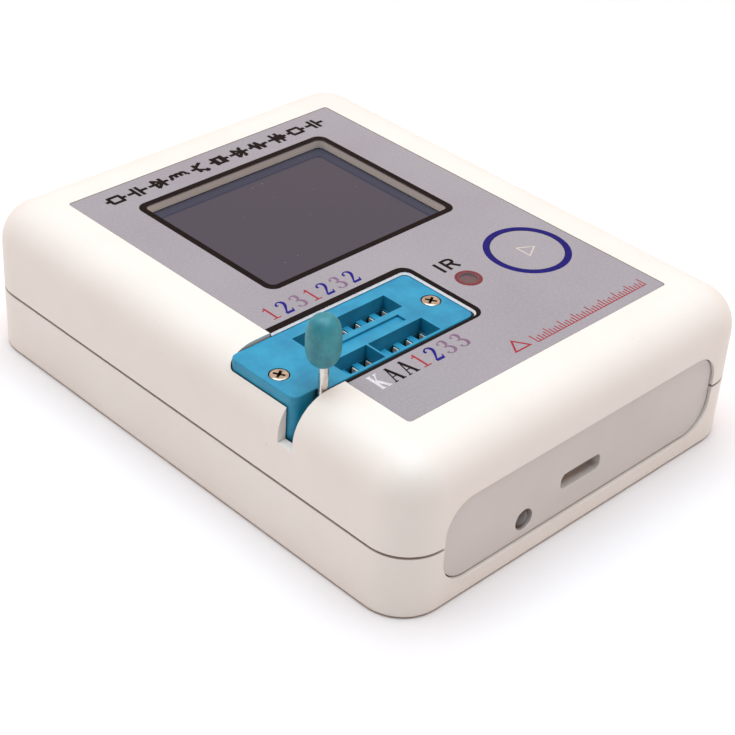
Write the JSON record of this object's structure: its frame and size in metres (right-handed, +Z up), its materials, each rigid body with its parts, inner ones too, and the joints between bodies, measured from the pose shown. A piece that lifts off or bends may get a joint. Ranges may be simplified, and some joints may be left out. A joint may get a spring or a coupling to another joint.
{
  "type": "component tester",
  "caption": "Handheld electronic component tester: rounded two-part case with a screen window, a lever-operated test socket, a membrane key and a charging port.",
  "frame": {"origin": "centre of the underside that the tester rests on", "axes": "+X to the right of the face label, +Y from the charging port end to the screen end, +Z up out of the screen face"},
  "size_m": [0.0692, 0.0882, 0.0344],
  "materials": {
    "case_plastic": "fine matt moulded texture",
    "panel_plastic": "fine matt",
    "label_film": "satin printed film",
    "button_plastic": "satin",
    "socket_blue": "satin moulded",
    "contact_metal": "tin plated",
    "screw_steel": "nickel plated",
    "lever_steel": "drawn wire",
    "knob_plastic": "slightly translucent",
    "board_green": "solder mask",
    "lcd_film": "glossy",
    "lcd_glass": "clear",
    "white_plastic": "satin",
    "foam": "closed-cell foam",
    "flex_film": "polyimide film",
    "smoked_plastic": "tinted",
    "black_plastic": "moulded",
    "can_metal": "satin",
    "ceramic_black": "satin",
    "ceramic_tan": "satin",
    "port_steel": "plated sheet",
    "lamp_lens": "smoky clear",
    "cell_wrap": "laminated pouch",
    "wire_red": "insulated wire",
    "wire_black": "insulated wire"
  },
  "bodies": {
    "case": {"top_case": "case_plastic", "bottom_case": "case_plastic", "front_panel": "panel_plastic", "rear_panel": "panel_plastic", "overlay_label": "label_film", "zif_cover": "socket_blue", "zif_base": "socket_blue", "zif_contacts": "contact_metal", "mcu_leads": "contact_metal", "infrared_leads": "contact_metal", "lamp_leads": "contact_metal", "zif_screws": "screw_steel", "case_screws": "screw_steel", "board_screws": "screw_steel", "main_board": "board_green", "lcd_polariser": "lcd_film", "lcd_glass": "lcd_glass", "lcd_backlight_frame": "white_plastic", "battery_header": "white_plastic", "battery_plug": "white_plastic", "lcd_foam_strips": "foam", "battery_pad": "foam", "lcd_flex": "flex_film", "infrared_window": "smoked_plastic", "switch_body": "black_plastic", "infrared_receiver": "black_plastic", "mcu_chip": "black_plastic", "charger_chip": "black_plastic", "voltage_regulator": "black_plastic", "boost_inductor": "black_plastic", "usb_tongue": "black_plastic", "crystal_can": "can_metal", "electrolytic_capacitors": "can_metal", "chip_resistors": "ceramic_black", "chip_capacitors": "ceramic_tan", "usb_shell": "port_steel", "charge_lamp": "lamp_lens", "battery_cell": "cell_wrap", "battery_wire_red": "wire_red", "battery_wire_black": "wire_black"},
    "lever": {"zif_lever": "lever_steel", "lever_knob": "knob_plastic"},
    "slider": {"zif_slider": "socket_blue"},
    "start_key": {"start_key_membrane": "label_film", "start_button_cap": "button_plastic", "switch_plunger": "button_plastic"}
  },
  "joints": [
    {"name": "lever_hinge", "type": "hinge", "parent": "case", "child": "lever", "pos_m": [-0.02882, -0.016, 0.0173], "axis": [0, -1, 0], "range_deg": [0, 90]},
    {"name": "slider_slide", "type": "slide", "parent": "case", "child": "slider", "axis": [1, 0, 0], "range_m": [0, 0.0009]},
    {"name": "start_press", "type": "slide", "parent": "case", "child": "start_key", "axis": [0, 0, -1], "range_m": [0, 0.00035], "stiffness_N_per_m": 4000}
  ],
  "couplings": [
    {"joint": "lever_hinge", "follows": "slider_slide", "rad_per_m": 1745.2}
  ]
}
